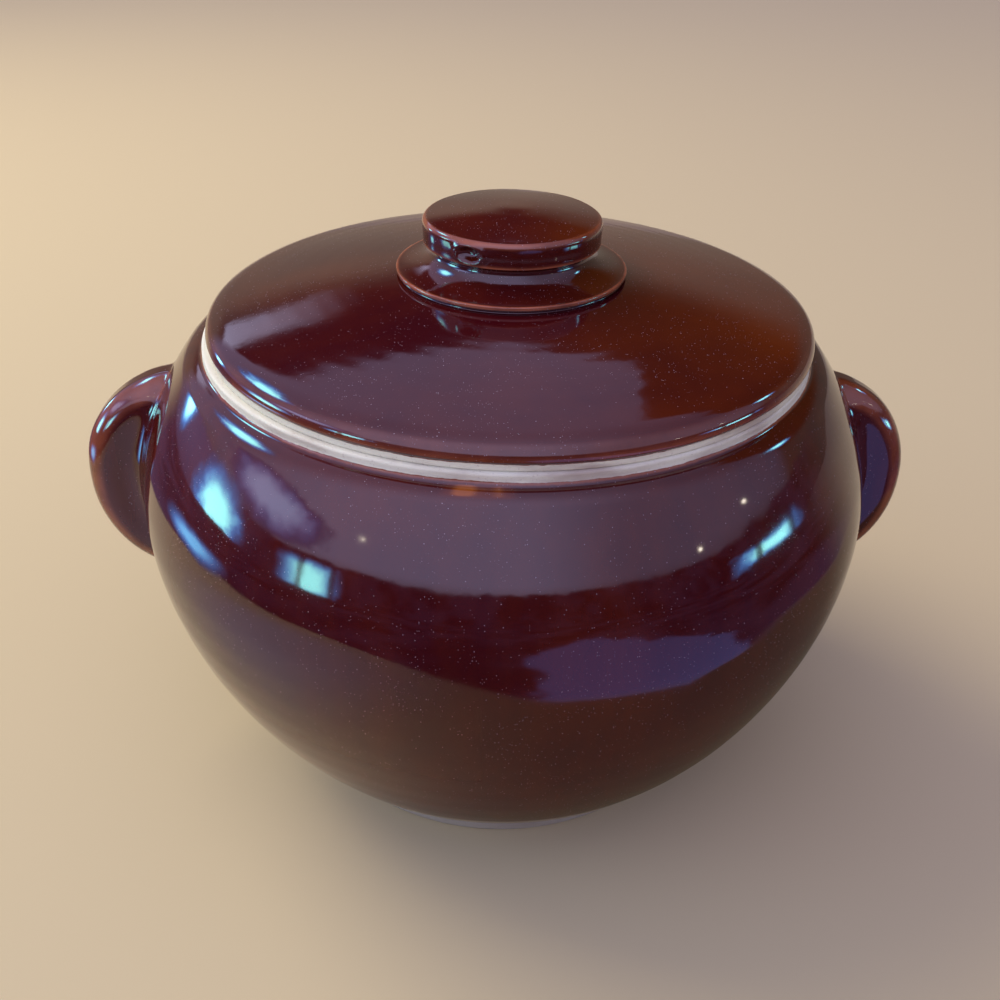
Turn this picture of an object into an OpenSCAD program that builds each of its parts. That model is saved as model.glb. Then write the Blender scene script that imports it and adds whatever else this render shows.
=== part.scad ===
// Stoneware bean pot with two ear lugs and a loose lift-off lid.
// Millimetres, +Z up. The origin is the centre of the foot, on the surface that the pot stands on.
// The lugs lie on +X and -X. The round forms share one upright axis, the wheel's axis, but the lid
// lies a little off it, as it was put down.

/* [Pot] */
// Largest radius of the pot, at the belly
belly_r = 101; // [95:1:112]
// Height of the belly, the widest place
belly_z = 86; // [76:1:94]
// Height of the pot's rim, which the lid rests on
rim_z = 131.5; // [124:0.5:145]
// Exponent of the curve below the belly: 2 is an ellipse, less is leaner
lower_power = 1.8; // [1.6:0.05:2.2]
// Thickness of the thrown wall
wall = 7; // [5:0.5:9]
// Thickness of the floor in the middle
floor_h = 8; // [6:0.5:12]

/* [Rim] */
// Radius of the bare collar that carries the rim
collar_r = 80.9; // [76:0.1:84]
// Height of the bare collar, from the cove to the flat rim
collar_h = 1.6; // [1.2:0.1:3]
// Radius of the cove at the collar's foot
cove_r = 1.5; // [1:0.1:2]
// Slope of the neck where the cove runs out into it
cove_slope = 12; // [5:1:20]
// Width of the rounded neck, from the collar out to the shoulder's curve
neck_w = 5.6; // [5:0.1:7]
// Depth below the rim at which the neck meets the shoulder's curve
neck_h = 5.7; // [5.4:0.1:7]
// Width of the rim, from the collar in to the mouth
rim_w = 7.4; // [6.5:0.1:11]
// Height of the mouth's upright wall, below the rim
mouth_h = 3.5; // [1.5:0.5:8]
// Rounding of the rim's two edges
rim_round = 0.7; // [0.3:0.1:1.1]

/* [Foot] */
// Radius of the foot
foot_r = 60; // [50:1:72]
// Height of the bare foot band
foot_h = 4; // [2.5:0.5:8]
// Rounding of the foot's outer edge
foot_round = 1.2; // [0.5:0.1:2.2]
// Width of the ring that the pot stands on
foot_ring_w = 10; // [6:0.5:16]
// Depth of the turned recess under the floor
foot_recess = 3; // [1.5:0.5:3.8]

/* [Ear lugs] */
// Radius of the ear's round outline
ear_r = 33; // [28:0.5:38]
// How far the middle of the ear's outline lies inside the belly
ear_sink = 16; // [12:0.5:20]
// Height of the middle of the ear's outline above the belly
ear_rise = -1; // [-8:0.5:5]
// Thickness of the ear at its rim
ear_t = 15; // [13:0.5:20]
// Rounding of the ear's rim, over each face
ear_round = 6; // [3:0.5:6.4]
// Depth of the hollow pressed into each face of the ear
ear_dish = 1; // [0:0.1:1.8]
// Spread of the ear's root past its rim's thickness, on each face
ear_root = 5; // [2:0.5:8]
// How much higher than the middle the left ear was set, and how much lower the right one
ear_uneven = 1.4; // [0:0.1:3]

/* [Lid] */
// How far the lid's rolled edge lies inside the collar
lid_inset = 0.4; // [0.3:0.1:3]
// How far the bare lower edge lies inside the rolled edge
lid_undercut = 0.5; // [0.2:0.1:2]
// Height of the lid's bare lower edge
lid_bare_h = 1.7; // [1:0.1:2.2]
// Height above the rim of the rolled edge's widest place
lid_mid_h = 2.7; // [2.4:0.1:5]
// Rounding of the rolled edge
lid_round = 3.8; // [2:0.1:5]
// Slope at which the rolled edge runs into the lid's crown
crown_slope = 30; // [20:1:45]
// Rounding of the crown, between the rolled edge and the dome
crown_round = 13; // [6:0.5:20]
// Radius of the dome's curve
dome_r = 322; // [240:1:420]
// Thickness of the lid
lid_wall = 6.5; // [5:0.5:8]
// Depth of the locating ring below the rim
ring_depth = 7; // [4:0.5:12]
// Thickness of the locating ring
ring_t = 5; // [4:0.5:8]
// Gap between the locating ring and the mouth while the lid is centred
lid_play = 1.3; // [1.2:0.1:3]
// How far off centre the lid was put down, towards +X
lid_shift = 0.9; // [0:0.1:0.9]

/* [Knob] */
// Radius of the knob's spread foot
knob_foot_r = 30.4; // [27:0.1:38]
// Height of the turned seat under the knob, above the dome
seat_h = 1; // [0.6:0.1:3]
// How far the knob's foot stands out past its seat
seat_lap = 0.9; // [0.3:0.1:2]
// Thickness of the knob's foot at its edge
knob_foot_t = 0.9; // [0.5:0.1:2]
// Radius of the knob's waist
waist_r = 20.6; // [14:0.1:22]
// Height of the waist above the seat
waist_z = 6; // [4:0.1:10]
// Radius of the disc's lower edge
disc_edge_r = 23.2; // [22.5:0.1:27]
// Rise from the waist to the disc's lower edge
disc_lip = 1.6; // [0.8:0.1:4]
// Bulge of the disc's side past its lower edge
disc_bulge = 0.3; // [0:0.1:1]
// Height of the disc's side, with its upper rounding
disc_t = 6.6; // [4:0.1:10]
// Rounding of the disc's upper edge
disc_round = 1.4; // [0.6:0.1:2.4]
// Rise of the disc's top from its edge to its middle
disc_rise = 2.1; // [0.5:0.1:4]

/* [Hidden] */
$fn = 120;

glaze_colour = [0.30, 0.11, 0.08];
curve_steps = 18;
round_steps = 6;
shoulder_power = 2;
inner_power = 2.3;
ring_round = 1.5;
lid_bevel = 0.4;
root_depth = 4;

cove_top_z = rim_z - collar_h;
neck_r = collar_r + neck_w;
neck_z = rim_z - neck_h;
shoulder_rise = reach_through(neck_r, neck_z - belly_z, belly_r, shoulder_power);
lower_drop = reach_through(foot_r, belly_z - foot_h, belly_r, lower_power);

mouth_r = collar_r - rim_w;
throat_z = rim_z - mouth_h;
inner_belly_r = belly_r - wall;
inner_rise = reach_through(mouth_r, throat_z - belly_z, inner_belly_r, shoulder_power);
inner_drop = belly_z - foot_recess - floor_h;

ear_reach = belly_r - ear_sink;
ear_z = belly_z + ear_rise;
ear_root_r = ear_sink - root_depth;
ear_face_r = ear_r - ear_round;

lid_r = collar_r - lid_inset;
lid_bare_r = lid_r - lid_undercut;
ring_r = mouth_r - lid_play;
ring_inner_r = ring_r - ring_t;
ring_z = rim_z - ring_depth;
lid_mid_z = rim_z + lid_mid_h;
roll_centre = [lid_r - lid_round, lid_mid_z];
crown_centre = roll_centre - (crown_round - lid_round) * [sin(crown_slope), cos(crown_slope)];
dome_slope = asin(crown_centre.x / (dome_r - crown_round));
dome_centre_z = crown_centre.y - (dome_r - crown_round) * cos(dome_slope);
dome_edge_r = dome_r * sin(dome_slope);

seat_r = knob_foot_r - seat_lap;
seat_z = dome_z(seat_r) + seat_h;
disc_z = waist_z + disc_lip;
disc_top_r = disc_edge_r + disc_bulge - disc_round;
disc_top_z = disc_z + disc_t;
disc_cap_r = cap_radius(disc_top_r, disc_rise);

// Half-height of the superellipse of half-width a and exponent n that passes through (r, h).
function reach_through(r, h, a, n) = h / pow(1 - pow(r / a, n), 1 / n);

// Radius of the sphere whose cap has a given radius and rise.
function cap_radius(r, rise) = (r * r + rise * rise) / (2 * rise);

// Points on a superellipse, from one angle to another: 0 is its widest place and 90 its top.
function superellipse(a, b, n, from, to, steps) =
    [for (i = [0 : steps])
        let (t = from + (to - from) * i / steps)
        [a * pow(cos(t), 2 / n), b * pow(sin(t), 2 / n)]];

// Angle on a superellipse at a part of its half-height, and at a part of its half-width.
function angle_at_height(part, n) = asin(pow(part, n / 2));
function angle_at_width(part, n) = acos(pow(part, n / 2));

// Points on a round or elliptical arc.
function arc(centre, rx, ry, from, to, steps) =
    [for (i = [0 : steps])
        let (t = from + (to - from) * i / steps)
        centre + [rx * cos(t), ry * sin(t)]];

// Downward slope of that superellipse at a radius r, in degrees.
function slope_at(r, a, b, n) = atan(b / a * pow(r / a, n - 1) * pow(1 - pow(r / a, n), 1 / n - 1));

// Where a line down and out from p at one slope meets a line down and out through q at another.
function meeting(p, slope, q, far_slope) =
    let (d = [cos(slope), -sin(slope)], e = [cos(far_slope), -sin(far_slope)])
    p + d * ((q - p).x * e.y - (q - p).y * e.x) / (d.x * e.y - d.y * e.x);

// Points on the smooth bend from p to q whose ends point at c.
function bend(p, c, q, steps) =
    [for (i = [0 : steps])
        let (t = i / steps)
        (1 - t) * (1 - t) * p + 2 * t * (1 - t) * c + t * t * q];

// The same points above or below a height.
function raised(points, z) = [for (p = points) [p.x, z + p.y]];
function lowered(points, z) = [for (p = points) [p.x, z - p.y]];

// Height of the lid's dome at a radius, and of the hollow below it.
function dome_z(r) = dome_centre_z + sqrt(pow(dome_r, 2) - r * r);
function hollow_z(r) = dome_z(0) - dome_r + sqrt(pow(dome_r - lid_wall, 2) - r * r);

// The pot's neck: a soft bend from the shoulder's curve in to the cove, and the cove.
function pot_neck() =
    let (cove_centre = [collar_r + cove_r, cove_top_z],
        cove_end = cove_centre - cove_r * [sin(cove_slope), cos(cove_slope)],
        end = [neck_r, neck_z],
        slope = slope_at(neck_r, belly_r, shoulder_rise, shoulder_power),
        neck = bend(end, meeting(cove_end, cove_slope, end, slope), cove_end, round_steps))
    concat(
        [for (i = [1 : round_steps - 1]) neck[i]],
        arc(cove_centre, cove_r, cove_r, -90 - cove_slope, -180, round_steps));

// The pot's outside, from the foot's outer edge up to the collar.
function pot_outside() = concat(
    arc([foot_r - foot_round, foot_round], foot_round, foot_round, -90, 0, round_steps),
    lowered(superellipse(belly_r, lower_drop, lower_power,
        angle_at_height((belly_z - foot_h) / lower_drop, lower_power), 0, curve_steps), belly_z),
    raised(superellipse(belly_r, shoulder_rise, shoulder_power,
        90 / curve_steps, angle_at_width(neck_r / belly_r, shoulder_power), curve_steps), belly_z),
    pot_neck());

// The pot's rim, across its flat top to the mouth.
function pot_rim() = concat(
    arc([collar_r - rim_round, rim_z - rim_round], rim_round, rim_round, 0, 90, round_steps),
    arc([mouth_r + rim_round, rim_z - rim_round], rim_round, rim_round, 90, 180, round_steps));

// The pot's inside, from the throat down to the middle of the floor.
function pot_inside() = concat(
    raised(superellipse(inner_belly_r, inner_rise, shoulder_power,
        angle_at_width(mouth_r / inner_belly_r, shoulder_power), 0, curve_steps), belly_z),
    lowered(superellipse(inner_belly_r, inner_drop, inner_power,
        90 / curve_steps, 90, curve_steps), belly_z));

// Half of the ear's thickness, from the root (0) to the start of the rim's rounding (1).
function ear_half(s) = ear_t / 2 + ear_root * pow(1 - s, 2) - ear_dish * pow(sin(180 * s), 2);

// One face of the ear and half of its rim, from the middle outwards.
function ear_face() = concat(
    [[0, ear_half(0)]],
    [for (i = [0 : round_steps - 1])
        [ear_root_r + (ear_face_r - ear_root_r) * i / round_steps, ear_half(i / round_steps)]],
    arc([ear_face_r, ear_t / 2 - ear_round], ear_round, ear_round, 90, 0, round_steps));

// The whole pot as a solid form, which the lugs are luted against.
module pot_form() {
    rotate_extrude()
        polygon(concat([[0, 0]], pot_outside(), [[collar_r, rim_z], [0, rim_z]]));
}

module pot() {
    foot_inner_r = foot_r - foot_ring_w;
    color(glaze_colour)
        rotate_extrude()
            polygon(concat(
                [[0, foot_recess], [foot_inner_r, foot_recess], [foot_inner_r, 0]],
                pot_outside(), pot_rim(), pot_inside()));
}

// A solid ear: a thick round tab on edge, with dished faces and a spread root.
// Side is 1 for +X and -1 for -X.
module ear_lug(side) {
    face = ear_face();
    far_face = [for (i = [len(face) - 1 : -1 : 0]) [face[i].x, -face[i].y]];
    color(glaze_colour)
        difference() {
            translate([side * ear_reach, 0, ear_z - side * ear_uneven])
                rotate([90, 0, 0])
                    rotate_extrude()
                        polygon(concat(face, far_face));
            pot_form();
        }
}

module left_lug() {
    ear_lug(-1);
}

module right_lug() {
    ear_lug(1);
}

module lid() {
    roll_z = rim_z + lid_bare_h;
    color(glaze_colour)
        translate([lid_shift, 0, 0])
            rotate_extrude()
                polygon(concat(
                    // the flat bare edge that rests on the rim, and its side
                    [[ring_r, rim_z], [lid_bare_r - lid_bevel, rim_z], [lid_bare_r, rim_z + lid_bevel]],
                    // the rolled edge, and its crown
                    [for (i = [0 : round_steps - 1])
                        [lid_bare_r + lid_undercut * sin(90 * i / round_steps),
                         roll_z + (lid_mid_z - roll_z) * i / round_steps]],
                    arc(roll_centre, lid_round, lid_round, 0, 90 - crown_slope, round_steps),
                    [for (i = [1 : round_steps])
                        let (slope = crown_slope + (dome_slope - crown_slope) * i / round_steps)
                        crown_centre + crown_round * [sin(slope), cos(slope)]],
                    // the dome, in to the knob's turned seat
                    [for (i = [1 : curve_steps])
                        let (r = dome_edge_r + (seat_r - dome_edge_r) * i / curve_steps)
                        [r, dome_z(r)]],
                    [[seat_r, seat_z], [0, seat_z]],
                    // the hollow below, and the locating ring
                    [for (i = [0 : curve_steps])
                        let (r = ring_inner_r * i / curve_steps)
                        [r, hollow_z(r)]],
                    arc([ring_inner_r + ring_round, ring_z + ring_round], ring_round, ring_round,
                        180, 270, round_steps),
                    arc([ring_r - ring_round, ring_z + ring_round], ring_round, ring_round,
                        -90, 0, round_steps)));
}

module knob() {
    foot_sweep = knob_foot_r - waist_r;
    lip_sweep = disc_edge_r - waist_r;
    color(glaze_colour)
        translate([lid_shift, 0, seat_z])
            rotate_extrude()
                polygon(concat(
                    [[0, 0], [knob_foot_r, 0]],
                    // the sweep from the foot's edge in to the waist, and out to the disc's lower edge
                    arc([knob_foot_r, waist_z], foot_sweep, waist_z - knob_foot_t, 270, 180, curve_steps),
                    arc([disc_edge_r, waist_z], lip_sweep, disc_lip, 180 - 90 / round_steps, 90, round_steps),
                    // the disc's side, its upper rounding and its low domed top
                    [for (i = [1 : round_steps - 1])
                        [disc_edge_r + disc_bulge * sin(90 * i / round_steps),
                         disc_z + (disc_t - disc_round) * i / round_steps]],
                    arc([disc_top_r, disc_top_z - disc_round], disc_round, disc_round, 0, 90, round_steps),
                    [for (i = [1 : curve_steps])
                        let (r = disc_top_r * (1 - i / curve_steps))
                        [r, disc_top_z + disc_rise - disc_cap_r + sqrt(pow(disc_cap_r, 2) - r * r)]]));
}

pot();
left_lug();
right_lug();
lid();
knob();
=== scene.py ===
"""A glazed stoneware bean pot with two ear lugs and a loose lid, laid out as a Blender add-on.

Run as a script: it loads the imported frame, makes each piece in its place and sets up the stage.
Shapes are worked out in millimetres and put into the meshes in metres.
"""

import math
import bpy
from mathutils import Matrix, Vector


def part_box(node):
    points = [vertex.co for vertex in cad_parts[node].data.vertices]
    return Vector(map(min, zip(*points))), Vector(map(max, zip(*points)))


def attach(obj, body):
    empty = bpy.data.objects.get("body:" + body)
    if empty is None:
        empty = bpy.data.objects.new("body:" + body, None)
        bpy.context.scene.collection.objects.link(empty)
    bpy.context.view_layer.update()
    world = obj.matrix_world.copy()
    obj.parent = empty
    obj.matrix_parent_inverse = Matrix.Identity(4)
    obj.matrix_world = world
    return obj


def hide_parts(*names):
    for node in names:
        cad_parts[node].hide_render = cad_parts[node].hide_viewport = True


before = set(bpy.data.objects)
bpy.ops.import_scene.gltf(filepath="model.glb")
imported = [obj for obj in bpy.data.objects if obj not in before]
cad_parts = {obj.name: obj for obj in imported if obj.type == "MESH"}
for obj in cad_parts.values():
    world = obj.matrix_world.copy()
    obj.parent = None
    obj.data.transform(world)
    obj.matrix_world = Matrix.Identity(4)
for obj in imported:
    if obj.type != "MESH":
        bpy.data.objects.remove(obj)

from types import SimpleNamespace

import bpy
import numpy as np
from bpy.props import FloatProperty, FloatVectorProperty, IntProperty, PointerProperty
from bpy.types import Operator, Panel, PropertyGroup
from mathutils import Matrix, Vector

bl_info = {
    "name": "Stoneware bean pot",
    "version": (1, 0, 0),
    "blender": (4, 5, 0),
    "location": "View3D > Sidebar > Bean pot",
    "description": "Makes a glazed stoneware bean pot with ear lugs and a loose lid",
    "category": "Add Mesh",
}

MM = 0.001
POT_BODY = "pot_body"
LID_BODY = "lid_body"

# Lengths below are in millimetres.
POT_HIGH = np.array(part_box("pot")[1]) / MM
FAR = 20.0  # a distance from the glaze lines that stands for well inside the glaze
RING_PITCH = 8.5  # from one throwing ring to the next
CORNER = 0.3  # rounding of a small turned corner
AROUND = 240  # points in each ring of a surface


# ---------------------------------------------------------------- sizes and colours


def length(name, description, millimetres):
    """A length property whose default is given in millimetres."""
    return FloatProperty(
        name=name, description=description, default=millimetres * MM, unit="LENGTH", precision=5
    )


def number(name, description, value):
    """A plain number property."""
    return FloatProperty(name=name, description=description, default=value)


def colour(name, description, value):
    """A colour property, in linear light."""
    return FloatVectorProperty(
        name=name, description=description, default=value, subtype="COLOR", size=3, min=0, max=8
    )


class PotShape(PropertyGroup):
    """The thrown pot's own sizes."""

    belly_r: length("Belly radius", "Largest radius of the pot", POT_HIGH[0])
    belly_z: length("Belly height", "Height of the widest place", 86)
    rim_z: length("Rim height", "Height of the flat rim", POT_HIGH[2])
    wall: length("Wall", "Thickness of the thrown wall", 7)
    floor_h: length("Floor", "Thickness of the floor in the middle", 8)
    lower_power: number("Lower curve", "Exponent of the curve below the belly", 1.8)
    shoulder_power: number("Shoulder curve", "Exponent of the curve above the belly", 2.0)
    inner_power: number("Inner curve", "Exponent of the curve inside, below the belly", 2.3)
    collar_r: length("Collar radius", "Radius of the bare collar under the rim", 80.9)
    collar_h: length("Collar height", "Height of the bare collar", 1.6)
    cove_r: length("Cove radius", "Radius of the cove at the collar's foot", 1.5)
    cove_slope: number("Cove slope", "Slope of the neck where the cove runs out, in degrees", 12)
    neck_w: length("Neck width", "Width of the neck, from the collar out to the shoulder", 5.6)
    neck_h: length("Neck height", "Depth below the rim at which neck and shoulder meet", 5.7)
    rim_w: length("Rim width", "Width of the flat rim", 7.4)
    mouth_h: length("Mouth wall", "Height of the mouth's upright wall", 3.5)
    rim_round: length("Rim rounding", "Rounding of the rim's edges", 0.7)
    foot_r: length("Foot radius", "Radius of the foot", 60)
    foot_h: length("Foot height", "Height of the bare foot band", 4)
    foot_round: length("Foot rounding", "Rounding of the foot's edge", 1.2)
    foot_ring_w: length("Foot ring", "Width of the ring that the pot stands on", 10)
    foot_recess: length("Foot recess", "Depth of the turned recess under the floor", 3)
    ring_depth: length("Throwing rings", "Depth of the finger rings left in the wall", 0.05)
    sway_depth: length("Sway", "Depth of the wall's slow unevenness", 0.16)
    around: IntProperty(name="Points around", description="Points in each ring", default=AROUND)


class LugShape(PropertyGroup):
    """The pressed ear lugs' own sizes."""

    ear_r: length("Ear radius", "Radius of the ear's round outline", 33)
    ear_power: number("Ear outline", "Exponent of the ear's outline, where 2 is round", 2.15)
    ear_sink: length("Ear sink", "How far the outline's middle lies inside the belly", 16)
    ear_t: length("Ear thickness", "Thickness of the ear at its rim", 15)
    ear_round: length("Ear rounding", "Rounding of the ear's rim", 6)
    ear_dish: length("Ear dish", "Depth of the hollow pressed into each face", 1)
    ear_root: length("Ear root", "Spread of the ear's root on each face", 2.6)
    ear_rise: length("Ear rise", "Height of the outline's middle above the belly", -1)
    ear_uneven: length("Unevenness", "How much higher the left ear was set", 1.4)
    fillet: length("Luting", "Reach of the clay smoothed in where the ear meets the pot", 9)
    skirt_w: length("Skirt width", "Half width of the smoothed patch on the pot", 24)
    skirt_h: length("Skirt height", "Half height of the smoothed patch on the pot", 39.5)
    aim: length("Aim", "Depth below the belly of the point that the skin is measured from", 6)
    around: IntProperty(name="Points around", description="Points in each ring", default=AROUND)
    rows: IntProperty(name="Rows", description="Rows from the ear's tip to its patch", default=104)


class LidShape(PropertyGroup):
    """The lid's own sizes."""

    shift: length("Shift", "How far off centre the lid was put down", 0.9)
    inset: length("Inset", "How far the rolled edge lies inside the collar", 0.4)
    undercut: length("Undercut", "How far the bare edge lies inside the rolled edge", 0.5)
    bare_h: length("Bare edge", "Height of the bare lower edge", 1.7)
    mid_h: length("Roll height", "Height above the rim of the rolled edge's widest place", 2.7)
    round_r: length("Roll", "Rounding of the rolled edge", 3.8)
    crown_slope: number("Crown slope", "Slope where the roll runs into the crown, in degrees", 30)
    crown_r: length("Crown", "Rounding between the rolled edge and the dome", 13)
    dome_r: length("Dome", "Radius of the dome's curve", 322)
    wall: length("Wall", "Thickness of the lid", 6.5)
    ring_depth: length("Ring depth", "Depth of the locating ring", 7)
    ring_t: length("Ring thickness", "Thickness of the locating ring", 5)
    play: length("Play", "Gap between the locating ring and the mouth", 1.3)
    ring_round: length("Ring rounding", "Rounding of the locating ring", 1.5)
    bevel: length("Bevel", "Bevel of the resting edge", 0.4)
    seat_lap: length("Seat lap", "How far the knob's foot stands out past its seat", 0.9)
    seat_h: length("Seat height", "Height of the turned seat above the dome", 1)
    sway_depth: length("Sway", "Depth of the dome's slow unevenness", 0.08)
    around: IntProperty(name="Points around", description="Points in each ring", default=AROUND)


class KnobShape(PropertyGroup):
    """The knob's own sizes."""

    foot_r: length("Foot radius", "Radius of the spread foot", 30.4)
    foot_t: length("Foot edge", "Thickness of the foot at its edge", 0.9)
    waist_r: length("Waist radius", "Radius of the waist", 20.6)
    waist_z: length("Waist height", "Height of the waist above the seat", 6)
    disc_edge_r: length("Disc edge", "Radius of the disc's lower edge", 23.2)
    disc_lip: length("Disc lip", "Rise from the waist to the disc", 1.6)
    disc_bulge: length("Disc bulge", "Bulge of the disc's side", 0.3)
    disc_t: length("Disc thickness", "Height of the disc's side", 6.6)
    disc_round: length("Disc rounding", "Rounding of the disc's upper edge", 1.4)
    disc_rise: length("Disc rise", "Rise of the disc's top", 2.1)
    corner_r: length("Corner", "Rounding that the glaze gives the sharp edges", 0.3)
    blister_angle: number("Blister angle", "Where the burst blister lies, in degrees round", -121)
    around: IntProperty(name="Points around", description="Points in each ring", default=AROUND)


class GlazeLook(PropertyGroup):
    """Colours of the glaze and of the bare clay."""

    # Deep and warm glaze are mixed by a tone that is partly the glaze's own and partly painted
    # reflection.
    deep: colour("Deep glaze", "Where the glaze lies thick", (0.036, 0.0022, 0.0040))
    warm: colour("Warm glaze", "Where the glaze lies thinner", (0.078, 0.0100, 0.0026))
    # Amber shows where the warm tone passes 1: a painted reflection, mostly in the pot's cove.
    amber: colour("Amber glaze", "Where the glaze has run thinnest", (0.24, 0.062, 0.008))
    broken: colour("Broken glaze", "Where the glaze runs thin over an edge", (0.33, 0.095, 0.040))
    lip: colour("Glaze lip", "The line where the glaze ends", (0.22, 0.060, 0.024))
    clay: colour("Bare clay", "The stoneware body", (0.68, 0.67, 0.52))
    clay_dark: colour("Clay stain", "Stain in the bare clay", (0.38, 0.31, 0.24))
    # Painted shade on the bare foot where it nears the floor, not a stain.
    foot_shade: colour("Foot stain", "What years of standing leave on the bare foot", (0.20, 0.17, 0.12))
    speck: colour("Specks", "Fine pale specks and dust on the glaze", (0.34, 0.29, 0.34))
    gloss: number("Gloss roughness", "Roughness of the glassy glaze", 0.05)


class StudioLook(PropertyGroup):
    """The camera, the floor, the lights and what the glaze mirrors."""

    lens: number("Lens", "Focal length in millimetres on a sensor 36 mm wide", 41.4)
    camera_x: length("Camera X", "Place of the camera", -20.3)
    camera_y: length("Camera Y", "Place of the camera", -290.3)
    camera_z: length("Camera Z", "Place of the camera", 255.4)
    pitch: number("Pitch", "Degrees that the camera looks down", 31.82)
    yaw: number("Yaw", "Degrees that the camera turns to its left", 0.12)
    roll: number("Roll", "Degrees that the camera leans", -1.37)
    floor: colour("Floor", "The plain floor", (0.55, 0.470, 0.275))
    dim: colour("Dim band", "The dark band above the surround", (0.020, 0.014, 0.020))
    brown: colour("Brown band", "The dark band towards the right", (0.170, 0.055, 0.008))
    surround: colour("Surround", "The plain surround beyond the floor", (0.36, 0.29, 0.23))
    overhead: colour("Overhead", "The wide pale light overhead", (1.05, 1.00, 1.62))
    key: number("Key", "Brightness of the soft light high on the left", 6.5)
    panes: number("Panes", "Brightness of the soft panes that the glaze mirrors", 13.0)


GROUPS = (PotShape, LugShape, LidShape, KnobShape, GlazeLook, StudioLook)


class BeanPotSettings(PropertyGroup):
    """All the sizes and colours together."""

    pot: PointerProperty(type=PotShape)
    lug: PointerProperty(type=LugShape)
    lid: PointerProperty(type=LidShape)
    knob: PointerProperty(type=KnobShape)
    glaze: PointerProperty(type=GlazeLook)
    studio: PointerProperty(type=StudioLook)


def plain(group):
    """A group's values by name, with lengths in millimetres."""
    values = {}
    for key, prop in group.bl_rna.properties.items():
        if key in ("rna_type", "name"):
            continue
        value = getattr(group, key)
        if getattr(prop, "unit", "NONE") == "LENGTH":
            value = value / MM
        values[key] = tuple(value) if getattr(prop, "is_array", False) else value
    return SimpleNamespace(**values)


# ---------------------------------------------------------------- curves


def arc(centre, rx, rz, start, end, steps):
    """Points on a round or elliptical arc: centre + (rx cos t, rz sin t), with t in degrees."""
    t = np.radians(np.linspace(start, end, steps + 1))
    return np.stack([centre[0] + rx * np.cos(t), centre[1] + rz * np.sin(t)], axis=1)


def line(start, end, steps):
    """Evenly spaced points on a straight line."""
    t = np.linspace(0, 1, steps + 1)[:, None]
    return np.array(start, float) * (1 - t) + np.array(end, float) * t


def superellipse(width, height, power, start, end, steps):
    """Points (width cos(t)^(2/power), height sin(t)^(2/power)), with t in degrees."""
    t = np.radians(np.linspace(start, end, steps + 1))
    c = np.clip(np.cos(t), 0, 1)
    s = np.clip(np.sin(t), 0, 1)
    return np.stack([width * c ** (2 / power), height * s ** (2 / power)], axis=1)


def join(*runs):
    """One profile from several runs of points, without the points that two runs share."""
    points = np.concatenate(runs)
    keep = np.ones(len(points), bool)
    keep[1:] = np.hypot(*np.diff(points, axis=0).T) > 1e-4
    return points[keep]


def corner(before, point, after, radius, steps=5):
    """A sharp corner rounded by a quadratic curve that starts and ends radius away from it."""
    p = np.array(point, float)
    a = np.array(before, float) - p
    b = np.array(after, float) - p
    a = p + a / np.hypot(*a) * radius
    b = p + b / np.hypot(*b) * radius
    return soft_bend(a, p, b, steps)


def meeting(p, slope, q, far_slope):
    """Where a line down and out from p at one slope meets a line through q at another, in degrees."""
    a, b = math.radians(slope), math.radians(far_slope)
    d = np.array([math.cos(a), -math.sin(a)])
    e = np.array([math.cos(b), -math.sin(b)])
    gap = np.array(q, float) - p
    return np.array(p, float) + d * (gap[0] * e[1] - gap[1] * e[0]) / (d[0] * e[1] - d[1] * e[0])


def soft_bend(p, c, q, steps):
    """Points on the bend from p to q whose ends point at c: (1-t)^2 p + 2t(1-t) c + t^2 q."""
    t = np.linspace(0, 1, steps + 1)[:, None]
    return (1 - t) ** 2 * np.array(p) + 2 * t * (1 - t) * np.array(c) + t**2 * np.array(q)


def power_sum(a, b, power):
    """(|a|^n + |b|^n)^(1/n), the distance that a superellipse keeps."""
    return (np.abs(a) ** power + np.abs(b) ** power) ** (1 / power)


def reach_through(r, h, width, power):
    """Half height of the superellipse of a half width that passes through (r, h)."""
    return h / (1 - (r / width) ** power) ** (1 / power)


def ease(x, low, high):
    """0 below low, 1 above high, and a smooth S between: 3t^2 - 2t^3."""
    t = np.clip((x - low) / (high - low), 0, 1)
    return t * t * (3 - 2 * t)


def along(profile):
    """Distance from the profile's first point, along it."""
    return np.concatenate([[0], np.cumsum(np.hypot(*np.diff(profile, axis=0).T))])


def distance_to(profile, r, z):
    """Distance along the profile to its point nearest to (r, z)."""
    return along(profile)[np.argmin(np.hypot(*(profile - [r, z]).T))]


def facing(profile):
    """Outward unit normals of a profile that runs from the axis below to the axis above."""
    tangent = np.gradient(profile, along(profile), axis=0)
    tangent /= np.maximum(np.hypot(*tangent.T), 1e-9)[:, None]
    return np.stack([tangent[:, 1], -tangent[:, 0]], axis=1)


def bend(profile, reach):
    """How sharply a profile turns outwards, in radians a millimetre: the turn at each point, spread
    over its neighbours by a bell curve of the given reach."""
    s = along(profile)
    step = np.diff(profile, axis=0)
    heading = np.unwrap(np.arctan2(step[:, 1], step[:, 0]))
    turn = np.zeros(len(profile))
    turn[1:-1] = np.diff(heading)
    bell = np.exp(-0.5 * ((s[:, None] - s[None, :]) / reach) ** 2) / (reach * math.sqrt(2 * math.pi))
    return bell @ turn


def bare_between(s, *spans):
    """Signed distance from the glaze lines: positive in the glaze, negative on bare clay."""
    gaps = [np.maximum(low - s, s - high) for low, high in spans]
    return np.clip(np.min(gaps, axis=0), -FAR, FAR)


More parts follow.
